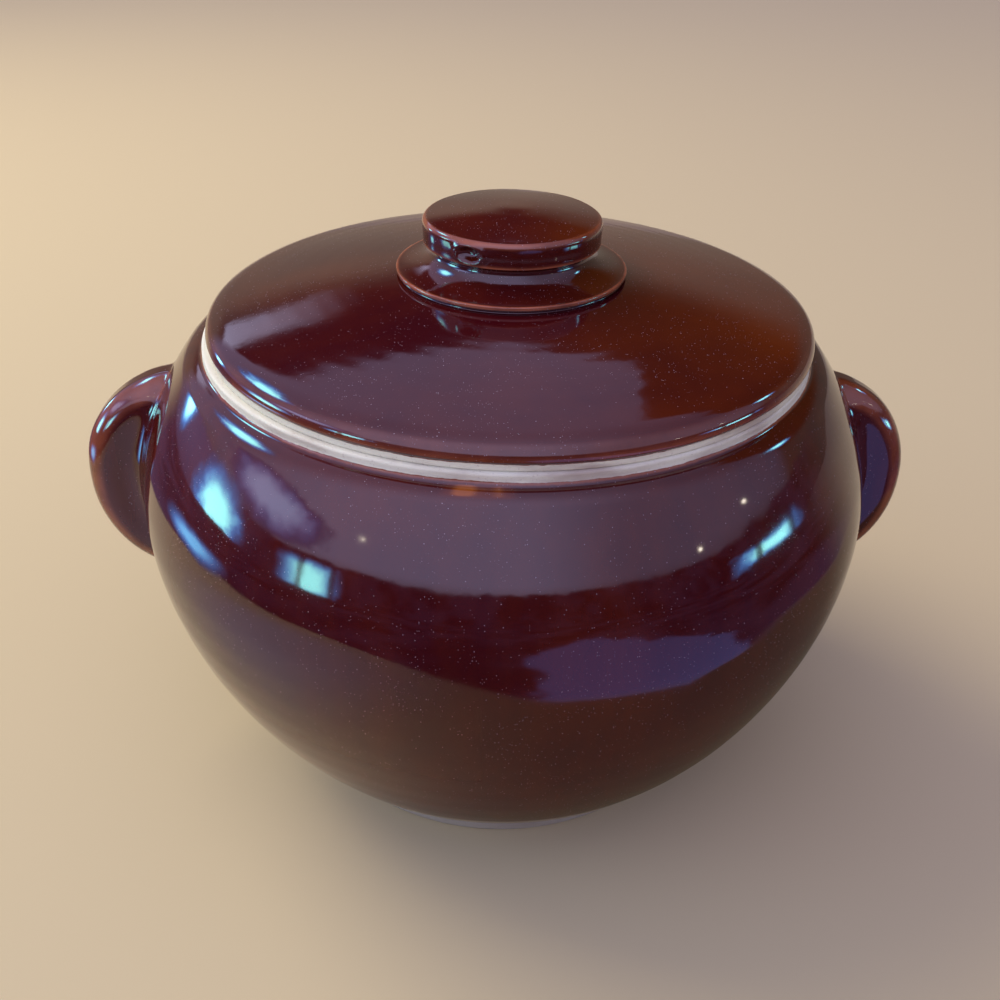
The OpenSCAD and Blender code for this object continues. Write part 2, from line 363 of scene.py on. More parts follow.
def waves(x, y, z, pitch, seed, count=7):
    """A slow random swell between -1 and 1: a mean of sines of one pitch in seeded directions."""
    rng = np.random.default_rng(seed)
    total = 0
    for _ in range(count):
        way = rng.normal(size=3)
        way *= 2 * math.pi / (pitch * rng.uniform(0.75, 1.4)) / np.linalg.norm(way)
        total = total + np.sin(way[0] * x + way[1] * y + way[2] * z + rng.uniform(0, 2 * math.pi))
    return total / count * 1.6


# ---------------------------------------------------------------- meshes


def skin(name, rows, marks, material):
    """A closed surface from rings of points, rows x columns x (x, y, z) in millimetres. The first and
    last rings shrink to one point each. marks are named values with one number for each point."""
    count, around = rows.shape[:2]
    first = rows[:1].mean(axis=1)
    last = rows[-1:].mean(axis=1)
    points = np.concatenate([first, rows[1:-1].reshape(-1, 3), last]) * MM
    column = np.arange(around)
    beside = (column + 1) % around
    ring = 1 + np.arange(count - 2)[:, None] * around
    quads = np.stack(
        [ring[:-1] + column, ring[:-1] + beside, ring[1:] + beside, ring[1:] + column], axis=2
    ).reshape(-1, 4)
    end = len(points) - 1
    start_fan = np.stack([np.zeros(around, int), 1 + beside, 1 + column], axis=1)
    top = 1 + (count - 3) * around
    end_fan = np.stack([np.full(around, end), top + column, top + beside], axis=1)
    mesh = bpy.data.meshes.new(name)
    faces = quads.tolist() + start_fan.tolist() + end_fan.tolist()
    mesh.from_pydata(points.tolist(), [], faces)
    for mark, values in marks.items():
        values = np.broadcast_to(values, rows.shape[:2])
        flat = np.concatenate([values[:1].mean(axis=1), values[1:-1].ravel(), values[-1:].mean(axis=1)])
        attribute = mesh.attributes.new(mark, "FLOAT", "POINT")
        attribute.data.foreach_set("value", flat.astype(np.float32))
    mesh.shade_smooth()
    mesh.materials.append(material)
    piece = bpy.data.objects.new(name, mesh)
    bpy.context.scene.collection.objects.link(piece)
    return piece


def turning(around):
    """The angles of a ring's points, as one row."""
    return np.linspace(0, 2 * math.pi, around, endpoint=False)[None, :]


def carry_round(profile, around, relief, shift=0.0):
    """Carries a profile (r, z) round the upright axis: x = r cos a + shift, y = r sin a. relief is
    how far each point moves outwards along the profile's normal."""
    angle = turning(around)
    out = facing(profile)
    out[0] = out[-1] = 0
    r = profile[:, :1] + out[:, :1] * relief
    z = profile[:, 1:] + out[:, 1:] * relief
    return np.stack([r * np.cos(angle) + shift, r * np.sin(angle), z + 0 * angle], axis=2)


# ---------------------------------------------------------------- the pot


def pot_levels(p):
    """Heights and half heights that follow from the pot's sizes."""
    neck_r = p.collar_r + p.neck_w
    neck_z = p.rim_z - p.neck_h
    mouth_r = p.collar_r - p.rim_w
    throat_z = p.rim_z - p.mouth_h
    inner_r = p.belly_r - p.wall
    return SimpleNamespace(
        cove_top_z=p.rim_z - p.collar_h,
        neck_r=neck_r,
        neck_z=neck_z,
        shoulder_rise=reach_through(neck_r, neck_z - p.belly_z, p.belly_r, p.shoulder_power),
        lower_drop=reach_through(p.foot_r, p.belly_z - p.foot_h, p.belly_r, p.lower_power),
        mouth_r=mouth_r,
        throat_z=throat_z,
        inner_r=inner_r,
        inner_rise=reach_through(mouth_r, throat_z - p.belly_z, inner_r, p.shoulder_power),
        inner_drop=p.belly_z - p.foot_recess - p.floor_h,
    )


def wall_relief(p, angle, z):
    """How far the thrown wall lies inside its true curve: fine finger rings that drift as they go
    round, and a slow sway, both faded out near the foot and the cove. It is never negative."""
    level = pot_levels(p)
    x = p.belly_r * np.cos(angle)
    y = p.belly_r * np.sin(angle)
    drift = 0.9 * np.sin(angle + 0.4) + 0.5 * np.sin(2 * angle + 2.1)
    rings = 0.5 - 0.5 * np.cos(2 * math.pi * z / RING_PITCH + drift)
    rings = rings * (0.55 + 0.45 * waves(x, y, z, 60, 11))
    sway = 0.5 + 0.5 * waves(x, y, z, 52, 5)
    above_foot = ease(z, p.foot_h + 2, p.foot_h + 22)
    below_neck = 1 - ease(z, level.neck_z - 8, level.neck_z + 1)
    depth = p.ring_depth * rings + p.sway_depth * np.clip(sway, 0, 1)
    return above_foot * below_neck * depth


def pot_profile(p):
    """The pot's whole section, from the middle of the recess under its floor, round the outside and
    over the rim to the middle of the floor inside. It also gives the distances along it that bound
    the bare clay: the foot, and the band from the cove's top to just inside the throat."""
    v = pot_levels(p)
    foot_in = p.foot_r - p.foot_ring_w
    low = math.degrees(math.asin(((p.belly_z - p.foot_h) / v.lower_drop) ** (p.lower_power / 2)))
    top = math.degrees(math.acos((v.neck_r / p.belly_r) ** (p.shoulder_power / 2)))
    inner_top = math.degrees(math.acos((v.mouth_r / v.inner_r) ** (p.shoulder_power / 2)))
    down = np.array([1, -1])
    base = np.array([0, p.belly_z])
    recess_round = 1.5
    ring_round = 0.8
    throat_end = v.throat_z + 0.6
    under = join(
        line((0, p.foot_recess), (foot_in - recess_round, p.foot_recess), 12),
        corner((0, p.foot_recess), (foot_in, p.foot_recess), (foot_in, 0), recess_round, 6),
        corner((foot_in, p.foot_recess), (foot_in, 0), (p.foot_r, 0), ring_round, 5),
        line((foot_in + 1, 0), (p.foot_r - p.foot_round - 0.2, 0), 6),
        arc((p.foot_r - p.foot_round, p.foot_round), p.foot_round, p.foot_round, -90, 0, 8),
        line((p.foot_r, p.foot_round), (p.foot_r, p.foot_h - 0.1), 8),
    )
    cove = arc((p.collar_r + p.cove_r, v.cove_top_z), p.cove_r, p.cove_r, -90 - p.cove_slope, -180, 14)
    part = v.neck_r / p.belly_r
    rise = v.shoulder_rise / p.belly_r * part ** (p.shoulder_power - 1)
    slope = math.degrees(math.atan(rise * (1 - part**p.shoulder_power) ** (1 / p.shoulder_power - 1)))
    aim = meeting(cove[0], p.cove_slope, (v.neck_r, v.neck_z), slope)
    wall = join(
        superellipse(p.belly_r, v.lower_drop, p.lower_power, low, low - 3, 14) * down + base,
        superellipse(p.belly_r, v.lower_drop, p.lower_power, low - 3, 0, 66) * down + base,
        superellipse(p.belly_r, v.shoulder_rise, p.shoulder_power, 0, top, 60) + base,
        soft_bend((v.neck_r, v.neck_z), aim, cove[0], 14),
        cove,
        line((p.collar_r, v.cove_top_z), (p.collar_r, p.rim_z - p.rim_round), 6),
    )
    rim = join(
        arc((p.collar_r - p.rim_round, p.rim_z - p.rim_round), p.rim_round, p.rim_round, 0, 90, 6),
        line((p.collar_r - p.rim_round, p.rim_z), (v.mouth_r + p.rim_round, p.rim_z), 7),
        arc((v.mouth_r + p.rim_round, p.rim_z - p.rim_round), p.rim_round, p.rim_round, 90, 180, 6),
        line((v.mouth_r, p.rim_z - p.rim_round), (v.mouth_r, throat_end), 5),
    )
    inside = join(
        superellipse(v.inner_r, v.inner_rise, p.shoulder_power, inner_top - 0.6, 0, 40) + base,
        superellipse(v.inner_r, v.inner_drop, p.inner_power, 0, 90, 48) * down + base,
    )
    profile = join(under, wall, rim, inside)
    foot_line = distance_to(profile, p.foot_r, p.foot_h)
    cove_line = distance_to(profile, p.collar_r, v.cove_top_z)
    throat_line = distance_to(profile, v.mouth_r, throat_end)
    return profile, (-1.0, foot_line + 0.5), (cove_line - 0.5, throat_line)


def make_pot_rows(p):
    """The pot as a surface of revolution with its throwing rings, and its marks."""
    profile, foot_span, rim_span = pot_profile(p)
    angle = turning(p.around)
    s = along(profile)[:, None]
    outside = (s > foot_span[1]) & (s < rim_span[0])
    inside = s > rim_span[1]
    swing = 0.16 * np.sin(3 * angle + 0.7) + 0.12 * np.sin(7 * angle + 2) + 0.07 * np.sin(17 * angle)
    low_part = profile[:, 1:] < p.belly_z
    glazed = bare_between(s + 0 * angle, foot_span, rim_span)
    glazed = glazed + np.where(low_part, -2.6 * swing, 0.5 * swing)
    thin = ease(bend(profile, 0.55), 0.10, 0.75)[:, None] + 0 * angle
    z = profile[:, 1:]
    relief = np.where(outside, -wall_relief(p, angle, z), 0)
    inner_pitch = 11
    inner_rings = 0.35 * np.sin(2 * math.pi * s / inner_pitch + np.sin(angle))
    inner_rings = inner_rings * ease(s, rim_span[1] + 2, rim_span[1] + 12)
    relief = relief + np.where(inside, inner_rings, 0)
    relief = relief * ease(profile[:, :1], 2, 12)
    bead = 0.16 * np.exp(-(((glazed - 0.7) / 0.8) ** 2)) * ease(glazed, -0.1, 0.25)
    relief = relief + np.where(low_part & (s < foot_span[1] + 8), bead, 0)
    rows = carry_round(profile, p.around, relief)
    # A painted amber reflection in the cove, a little to the left of the front, by the turn from it in
    # degrees.
    turn = (np.degrees(angle + math.pi / 2) + 180) % 360 - 180
    below_band = rim_span[0] - s
    run = ease(turn, -13.5, -12) * (1 - ease(turn, -4, -2))
    run = run * (1 - ease(below_band, 3.6, 4.6)) * ease(below_band, 0.4, 1.0)
    x, y, z = np.moveaxis(rows, 2, 0)
    # The painted reflection is added to the warm tone, where values above 1 show as amber.
    warmth = pot_warm_tone_and_reflection(p, x, y, z) + run * (1.3 + 0.7 * waves(x, y, z, 6, 41))
    return rows, {"glazed": glazed, "thin": thin, "warmth": warmth}


def pot_warm_tone_and_reflection(p, x, y, z):
    """How warm the glaze's tone is, from 0 to 1: warmer below the belly as a painted reflection of the
    floor, with slow patches of the glaze's own tone."""
    return 0.30 + 0.30 * ease(p.belly_z - z, -10, 60) + 0.22 * waves(x, y, z, 70, 31)


# ---------------------------------------------------------------- the lugs


def smooth_union(a, b, reach):
    """The smaller of two distances, filled in where they come within reach of each other: less
    reach / 6 times the cube of 1 - |a - b| / reach."""
    h = np.clip(1 - np.abs(a - b) / reach, 0, None)
    return np.minimum(a, b) - reach / 6 * h**3


def wall_gap(p, x, y, z):
    """How far points lie outside the pot's wall: their radius less the wall's at that height, over
    the length of the wall's slope, and the wall's relief."""
    level = pot_levels(p)
    rise = z - p.belly_z
    height = np.where(rise >= 0, level.shoulder_rise, level.lower_drop)
    power = np.where(rise >= 0, p.shoulder_power, p.lower_power)
    part = np.clip(np.abs(rise) / height, 1e-6, 0.995)
    left = 1 - part**power
    radius = p.belly_r * left ** (1 / power)
    slope = p.belly_r * left ** (1 / power - 1) * part ** (power - 1) / height
    gap = (np.hypot(x, y) - radius) / np.sqrt(1 + slope**2)
    return gap + wall_relief(p, np.arctan2(y, x), z)


def ear_gap(p, g, side, x, y, z):
    """How far points lie outside an ear: a round tab on edge whose half thickness grows towards its
    root and is dished between, with a rim rounded over both faces."""
    root_r = g.ear_sink - 4
    face_r = g.ear_r - g.ear_round
    middle_x = side * (p.belly_r - g.ear_sink)
    middle_z = p.belly_z + g.ear_rise - side * g.ear_uneven
    sway = 0.2 + 0.2 * waves(x, y, z, 26, 21 + side)
    out = power_sum(x - middle_x, z - middle_z, g.ear_power) + sway
    s = np.clip((out - root_r) / (face_r - root_r), 0, 1)
    half = g.ear_t / 2 + g.ear_root * (1 - s) ** 2 - g.ear_dish * np.sin(math.pi * s) ** 2
    over = out - face_r
    proud = np.abs(y) + 0.5 * sway - (half - g.ear_round)
    outer = np.hypot(np.maximum(over, 0), np.maximum(proud, 0))
    gap = outer + np.minimum(np.maximum(over, proud), 0) - g.ear_round
    return gap, np.clip(over, 0, None) * np.clip(proud, 0, None) / g.ear_round**2 * 4


def make_lug_rows(p, g, side):
    """An ear and its luting as a surface seen from a point Q inside its root: each row is a cone of
    rays from Q, and each point is where its ray leaves the smooth union of ear and wall. The rows
    run from the ear's tip to the edge of the smoothed patch, and back under the pot's skin."""
    middle_z = p.belly_z + g.ear_rise - side * g.ear_uneven
    q = np.array([side * (p.belly_r - g.aim), 0, middle_z])
    turn = turning(g.around)[0]
    crowding = 3.6
    spread = np.arctan2(crowding * np.sin(turn), np.cos(turn))
    patch = 1 / power_sum(np.cos(spread) / g.skirt_w, np.sin(spread) / g.skirt_h, 2.4)
    edge_y = patch * np.cos(spread)
    edge_z = patch * np.sin(spread)
    level = pot_levels(p)
    high = middle_z + edge_z - p.belly_z
    height = np.where(high >= 0, level.shoulder_rise, level.lower_drop)
    power = np.where(high >= 0, p.shoulder_power, p.lower_power)
    edge_r = p.belly_r * (1 - (np.abs(high) / height) ** power) ** (1 / power)
    edge_x = np.sqrt(edge_r**2 - edge_y**2) - (p.belly_r - g.aim)
    lean = np.arctan2(patch, edge_x)
    back_rows = 11
    back = np.linspace(1, 0, back_rows + 1)[1:]
    v = np.concatenate([np.linspace(0, 1, g.rows), back])[:, None]
    angle = lean[None, :] * v
    way = np.stack(
        [
            side * np.cos(angle),
            side * np.sin(angle) * np.cos(spread)[None, :],
            np.sin(angle) * np.sin(spread)[None, :],
        ],
        axis=2,
    )
    under = np.arange(len(v))[:, None] >= g.rows
    fill = g.fillet * (1 - ease(v, 0.80, 0.995)) + 1e-3
    proud = 0.03
    edge_sink = 0.5
    back_depth = 2.2

    def gap(t):
        x, y, z = (q[i] + way[..., i] * t for i in range(3))
        ear, ridge = ear_gap(p, g, side, x, y, z)
        wall = wall_gap(p, x, y, z)
        front = smooth_union(ear, wall + proud + edge_sink * ease(v, 0.985, 1.0), fill)
        return np.where(under, wall + back_depth, front), ridge

    longest_ray = 70.0
    halvings = 34
    near = np.zeros(angle.shape)
    far = np.full(angle.shape, longest_ray)
    for _ in range(halvings):
        middle = (near + far) / 2
        outside = gap(middle)[0] > 0
        far = np.where(outside, middle, far)
        near = np.where(outside, near, middle)
    t = (near + far) / 2
    ridge = gap(t)[1]
    rows = q + way * t[..., None]
    # Lighter glaze over the ear's rim: partly real thin glaze, partly a painted highlight.
    thin = 0.5 * ease(ridge, 0.35, 1.5) * ~under
    # The ear takes the pot's warm tone, including the painted reflection below the belly.
    warmth = pot_warm_tone_and_reflection(p, *np.moveaxis(rows, 2, 0))
    return rows, {"glazed": np.full(t.shape, FAR), "thin": thin, "warmth": warmth}


# ---------------------------------------------------------------- the lid and its knob


def lid_levels(p, d, k):
    """Radii and heights that follow from the lid's sizes."""
    lid_r = p.collar_r - d.inset
    mid_z = p.rim_z + d.mid_h
    crown = math.radians(d.crown_slope)
    crown_x = lid_r - d.round_r - (d.crown_r - d.round_r) * math.sin(crown)
    crown_z = mid_z - (d.crown_r - d.round_r) * math.cos(crown)
    slope = math.asin(crown_x / (d.dome_r - d.crown_r))
    centre_z = crown_z - (d.dome_r - d.crown_r) * math.cos(slope)
    seat_r = k.foot_r - d.seat_lap
    ring_r = p.collar_r - p.rim_w - d.play
    return SimpleNamespace(
        lid_r=lid_r,
        bare_r=lid_r - d.undercut,
        mid_z=mid_z,
        crown=(crown_x, crown_z),
        slope=math.degrees(slope),
        edge_r=d.dome_r * math.sin(slope),
        centre_z=centre_z,
        seat_r=seat_r,
        seat_z=centre_z + math.sqrt(d.dome_r**2 - seat_r**2) + d.seat_h,
        ring_r=ring_r,
        ring_in=ring_r - d.ring_t,
        ring_z=p.rim_z - d.ring_depth,
    )


def cap(radius, centre_z, start, end, steps):
    """Points on a sphere's section, evenly spaced in radius."""
    r = np.linspace(start, end, steps + 1)
    return np.stack([r, centre_z + np.sqrt(radius**2 - r * r)], axis=1)


def make_lid_rows(p, d, k):
    """The lid as a surface of revolution: its hollow, locating ring, bare rest, rolled edge, dome and
    the knob's turned seat, with a slow unevenness on the dome."""
    v = lid_levels(p, d, k)
    hollow_round = 3
    hollow = cap(d.dome_r - d.wall, v.centre_z, 0, v.ring_in - hollow_round, 24)
    hollow_edge = cap(d.dome_r - d.wall, v.centre_z, v.ring_in, v.ring_in, 0)[0]
    roll_z = p.rim_z + d.bare_h
    lift = np.linspace(0, 1, 11)[:, None]
    rolled = np.hstack(
        [v.bare_r + d.undercut * np.sin(lift * math.pi / 2), roll_z + (v.mid_z - roll_z) * lift]
    )
    seat_foot = cap(d.dome_r, v.centre_z, v.seat_r, v.seat_r, 0)[0]
    profile = join(
        hollow,
        corner(hollow[-1], hollow_edge, (v.ring_in, v.ring_z), hollow_round, 8),
        line((v.ring_in, hollow_edge[1] - hollow_round), (v.ring_in, v.ring_z + d.ring_round), 5),
        arc((v.ring_in + d.ring_round, v.ring_z + d.ring_round), d.ring_round, d.ring_round, 180, 270, 8),
        arc((v.ring_r - d.ring_round, v.ring_z + d.ring_round), d.ring_round, d.ring_round, -90, 0, 8),
        line((v.ring_r, v.ring_z + d.ring_round), (v.ring_r, p.rim_z - CORNER), 6),
        corner((v.ring_r, v.ring_z), (v.ring_r, p.rim_z), (v.bare_r, p.rim_z), CORNER, 3),
        line((v.ring_r + CORNER, p.rim_z), (v.bare_r - d.bevel, p.rim_z), 7),
        arc((v.bare_r - d.bevel, p.rim_z + d.bevel), d.bevel, d.bevel, -90, 0, 6),
        line((v.bare_r, p.rim_z + d.bevel), (v.bare_r, roll_z), 6),
        rolled,
        arc((v.lid_r - d.round_r, v.mid_z), d.round_r, d.round_r, 0, 90 - d.crown_slope, 18),
        arc(v.crown, d.crown_r, d.crown_r, 90 - d.crown_slope, 90 - v.slope, 14),
        cap(d.dome_r, v.centre_z, v.edge_r, v.seat_r + 0.4, 90),
        corner((v.edge_r, v.mid_z), seat_foot, (v.seat_r, v.seat_z), CORNER, 4),
        line((v.seat_r, seat_foot[1] + CORNER), (v.seat_r, v.seat_z), 3),
        line((v.seat_r, v.seat_z), (0, v.seat_z), 6),
    )
    bare_from = distance_to(profile, v.ring_in + 1, v.ring_z + 0.4)
    bare_to = distance_to(profile, v.bare_r, roll_z)
    angle = turning(d.around)
    s = along(profile)[:, None]
    swing = 0.10 * np.sin(4 * angle + 1.7) + 0.08 * np.sin(9 * angle + 0.3) + 0.05 * np.sin(23 * angle)
    glazed = bare_between(s + 0 * angle, (bare_from, bare_to)) + swing
    # Lighter glaze over the lid's bends: partly real thin glaze, partly a painted highlight along the
    # crown's edge.
    thin = ease(bend(profile, 0.6), 0.10, 0.62)[:, None] + 0 * angle
    r = profile[:, :1]
    x = r * np.cos(angle)
    y = r * np.sin(angle)
    outside_seat = ease(r, v.seat_r + 1, v.seat_r + 9)
    on_dome = (s > bare_to) * outside_seat * (1 - ease(r, v.edge_r - 7, v.edge_r))
    relief = -d.sway_depth * on_dome * (0.5 + 0.5 * waves(x, y, 0 * x, 30, 8))
    turned_pitch = 5.5
    turned = 0.5 + 0.5 * np.sin(2 * math.pi * r / turned_pitch + np.sin(2 * angle))
    relief = relief - 0.012 * on_dome * turned
    # Warmer towards the right and back: a painted reflection, with slow patches of the glaze's own tone.
    warmth = 0.22 + 0.55 * ease(x + 0.4 * y, 5, 60) + 0.2 * waves(x, y, 0 * x, 55, 17)
    rows = carry_round(profile, d.around, relief, d.shift)
    return rows, {"glazed": glazed, "thin": thin, "warmth": warmth}


def make_knob_rows(p, d, k):
    """The knob as a surface of revolution: foot, waist, disc and low domed top. A burst blister dents
    the disc's side: a raised rim round a small hollow, by bell curves of the distance from it."""
    v = lid_levels(p, d, k)
    base = np.array([0, v.seat_z])
    disc_z = k.waist_z + k.disc_lip
    side_top = disc_z + k.disc_t - k.disc_round
    top_r = k.disc_edge_r + k.disc_bulge - k.disc_round
    cap_r = (top_r**2 + k.disc_rise**2) / (2 * k.disc_rise)
    cap_z = disc_z + k.disc_t + k.disc_rise - cap_r
    sweep = arc((k.foot_r, k.waist_z), k.foot_r - k.waist_r, k.waist_z - k.foot_t, 268, 180, 34)
    lip = arc((k.disc_edge_r, k.waist_z), k.disc_edge_r - k.waist_r, k.disc_lip, 180, 98, 14)
    rise = np.linspace(0.06, 1, 13)[:, None]
    side = np.hstack(
        [k.disc_edge_r + k.disc_bulge * np.sin(rise * math.pi / 2), disc_z + (side_top - disc_z) * rise]
    )
    profile = join(
        line((0, 0), (k.foot_r - CORNER, 0), 6),
        corner((0, 0), (k.foot_r, 0), (k.foot_r, 2), 0.2, 4),
        corner((k.foot_r, 0), (k.foot_r, k.foot_t), (0, k.foot_t), k.corner_r, 6),
        sweep,
        lip,
        corner(lip[-1], (k.disc_edge_r, disc_z), side[0], k.corner_r, 6),
        side,
        arc((top_r, side_top), k.disc_round, k.disc_round, 0, 82, 14),
        cap(cap_r, cap_z, top_r - 0.2, 0, 34),
    )
    profile = profile + base
    angle = turning(k.around)
    thin = ease(bend(profile, 0.4), 0.16, 0.9)[:, None] + 0 * angle
    r = profile[:, :1]
    z = profile[:, 1:]
    x = r * np.cos(angle)
    y = r * np.sin(angle)
    top = ease(z - v.seat_z, disc_z, disc_z + 2) * ease(r, 1, 6)
    relief = -0.22 * top * (0.5 + 0.5 * waves(x, y, z, 20, 3))
    turn = np.radians(k.blister_angle)
    aside = k.disc_edge_r * ((angle - turn + math.pi) % (2 * math.pi) - math.pi)
    high = z - v.seat_z - (disc_z + 3.0)
    half_wide = 3.1
    half_high = 1.9
    away = np.hypot(aside / half_wide, high / half_high)
    rim = 0.55 * np.exp(-(((away - 1.2) / 0.36) ** 2))
    hollow = 1.6 * np.exp(-((away / 0.85) ** 4))
    on_side = ease(z - v.seat_z, disc_z - 0.2, disc_z + 0.6) * ease(r, 10, 20)
    highest = 0.4
    relief = np.minimum(relief + (rim - hollow) * on_side, highest)
    # Warmer towards the right: a painted reflection, with slow patches of the glaze's own tone.
    warmth = 0.35 + 0.35 * ease(x, -10, 25) + 0.2 * waves(x, y, z, 30, 19)
    rows = carry_round(profile, k.around, relief, d.shift)
    return rows, {"glazed": np.full(relief.shape, FAR), "thin": thin, "warmth": warmth}


# ---------------------------------------------------------------- shader groups


def group(name, **defaults):
    """A new shader node group with an input for each default, a value or a colour. It gives the tree
    and the inputs' own sockets."""
    tree = bpy.data.node_groups.new(name, "ShaderNodeTree")
    for label, value in defaults.items():
        kind = "NodeSocketColor" if isinstance(value, tuple) else "NodeSocketFloat"
        made = tree.interface.new_socket(label, in_out="INPUT", socket_type=kind)
        made.default_value = value
    return tree, tree.nodes.new("NodeGroupInput").outputs


def put_out(tree, **results):
    """Ends a group: an output for each result, named as the result is."""
    for label in results:
        kind = "NodeSocketColor" if label == "Color" else "NodeSocketFloat"
        tree.interface.new_socket(label, in_out="OUTPUT", socket_type=kind)
    add(tree, "NodeGroupOutput", results)
    return tree


def add(tree, kind, inputs=None, **settings):
    """A node with its settings, and its inputs linked or set by name or number."""
    node = tree.nodes.new(kind)
    for key, value in settings.items():
        setattr(node, key, value)
    for key, value in (inputs or {}).items():
        socket = node.inputs[key]
        if isinstance(value, bpy.types.NodeSocket):
            tree.links.new(value, socket)
        else:
            socket.default_value = value
    return node


def maths(tree, operation, a, b=None, c=None, clamp=False):
    """The result of one Math node."""
    inputs = {i: v for i, v in enumerate((a, b, c)) if v is not None}
    return add(tree, "ShaderNodeMath", inputs, operation=operation, use_clamp=clamp).outputs[0]


def ramp(tree, value, low, high, start=0.0, end=1.0):
    """A smooth step of a value: start below low, end above high."""
    node = add(
        tree,
        "ShaderNodeMapRange",
        {"Value": value, "From Min": low, "From Max": high, "To Min": start, "To Max": end},
        interpolation_type="SMOOTHSTEP",
    )
    return node.outputs["Result"]


def mix_colour(tree, share, a, b):
    """One colour over another."""
    return add(tree, "ShaderNodeMix", {0: share, 6: a, 7: b}, data_type="RGBA").outputs[2]


def mix_value(tree, share, a, b):
    """One value over another."""
    return add(tree, "ShaderNodeMix", {0: share, 2: a, 3: b}, data_type="FLOAT").outputs[0]


def parts(tree, vector):
    """A vector's three parts."""
    return tuple(add(tree, "ShaderNodeSeparateXYZ", {0: vector}).outputs)


def scaled(tree, vector, scale):
    """A vector or colour times a value."""
    inputs = {0: vector, "Scale": scale}
    return add(tree, "ShaderNodeVectorMath", inputs, operation="SCALE").outputs[0]


def solid(rgb):
    """A colour with an alpha of 1."""
    return (*rgb, 1)


def place(tree):
    """Object coordinates, in metres."""
    return add(tree, "ShaderNodeTexCoord").outputs["Object"]


def stretched(tree, x, y, z):
    """Object coordinates stretched along the axes."""
    return add(tree, "ShaderNodeMapping", {"Vector": place(tree), "Scale": (x, y, z)}).outputs[0]


def noise(tree, vector, scale, detail=3.0, roughness=0.55):
    """A noise value about 0.5."""
    inputs = {"Vector": vector, "Scale": scale, "Detail": detail, "Roughness": roughness}
    return add(tree, "ShaderNodeTexNoise", inputs).outputs[0]


def unevenness(tree, vector, scale, detail, roughness=0.55):
    """A noise value about 0."""
    return maths(tree, "SUBTRACT", noise(tree, vector, scale, detail, roughness), 0.5)


def voronoi(tree, scale):
    """A Voronoi pattern of the object's own coordinates, and three random values for each cell."""
    cells = add(tree, "ShaderNodeTexVoronoi", {"Vector": place(tree), "Scale": scale})
    pick = add(tree, "ShaderNodeSeparateColor", {"Color": cells.outputs["Color"]})
    return cells, pick.outputs


def tone_group():
    """Glaze tone, from 0 to 1: the given warmth, partly painted reflection, with cloudy patches and fine
    runs down the wall.
    """
    tree, given = group("glaze tone", Runs=0.5, Warmth=0.5)
    cloud = noise(tree, place(tree), 30, 4)
    runs = noise(tree, stretched(tree, 170, 170, 16), 1.0, 3)
    both = mix_value(tree, given["Runs"], cloud, runs)
    patchy = ramp(tree, both, 0.30, 0.72, -0.28, 0.28)
    return put_out(tree, Tone=maths(tree, "ADD", given["Warmth"], patchy, clamp=True))


def break_group():
    """Glaze break: the share of thin glaze over an edge, made uneven by noise along it."""
    tree, given = group("glaze break", Thin=0.0, Strength=1.0)
    patchy = ramp(tree, noise(tree, place(tree), 95, 4, 0.6), 0.30, 0.62, 0.45, 1.0)
    share = maths(tree, "MULTIPLY", given["Thin"], patchy)
    return put_out(tree, Mask=maths(tree, "MULTIPLY", share, given["Strength"], clamp=True))


def bare_group():
    """Glaze line: bare clay below zero of a distance in millimetres, and the thin lip beside it."""
    tree, given = group("glaze line", Glazed=FAR, Lip=0.6)
    ragged = unevenness(tree, place(tree), 420, 3)
    edge = maths(tree, "MULTIPLY_ADD", ragged, 0.5, given["Glazed"])
    clay = ramp(tree, edge, -0.06, 0.06, 1.0, 0.0)
    fade = ramp(tree, maths(tree, "DIVIDE", edge, given["Lip"]), 0.25, 1.0, 1.0, 0.0)
    return put_out(tree, Clay=clay, Lip=fade)


def speck_group():
    """Specks: small pale dots in a share of the cells of a Voronoi pattern, thicker in some places
    than in others."""
    tree, given = group("fine specks", Scale=800.0, Share=0.2, Size=0.2)
    cells, pick = voronoi(tree, given["Scale"])
    thick = ramp(tree, noise(tree, place(tree), 34, 3), 0.35, 0.68, 0.25, 1.6)
    share = maths(tree, "MULTIPLY", given["Share"], thick)
    chosen = maths(tree, "LESS_THAN", pick[0], share)
    size = maths(tree, "MULTIPLY", given["Size"], maths(tree, "ADD", pick[1], 0.35))
    dot = maths(tree, "LESS_THAN", cells.outputs["Distance"], size)
    bright = maths(tree, "MULTIPLY", dot, maths(tree, "ADD", pick[2], 0.15))
    return put_out(tree, Mask=maths(tree, "MULTIPLY", chosen, bright, clamp=True))


def pit_group():
    """Pinholes: a few small round pits left by bubbles, as a depth from 0 to 1."""
    tree, given = group("pinholes", Scale=60.0, Size=0.03)
    cells, pick = voronoi(tree, given["Scale"])
    share = 0.16
    chosen = maths(tree, "LESS_THAN", pick[0], share)
    near = maths(tree, "DIVIDE", cells.outputs["Distance"], given["Size"])
    depth = ramp(tree, near, 0.35, 1.0, 1.0, 0.0)
    return put_out(tree, Depth=maths(tree, "MULTIPLY", depth, chosen))


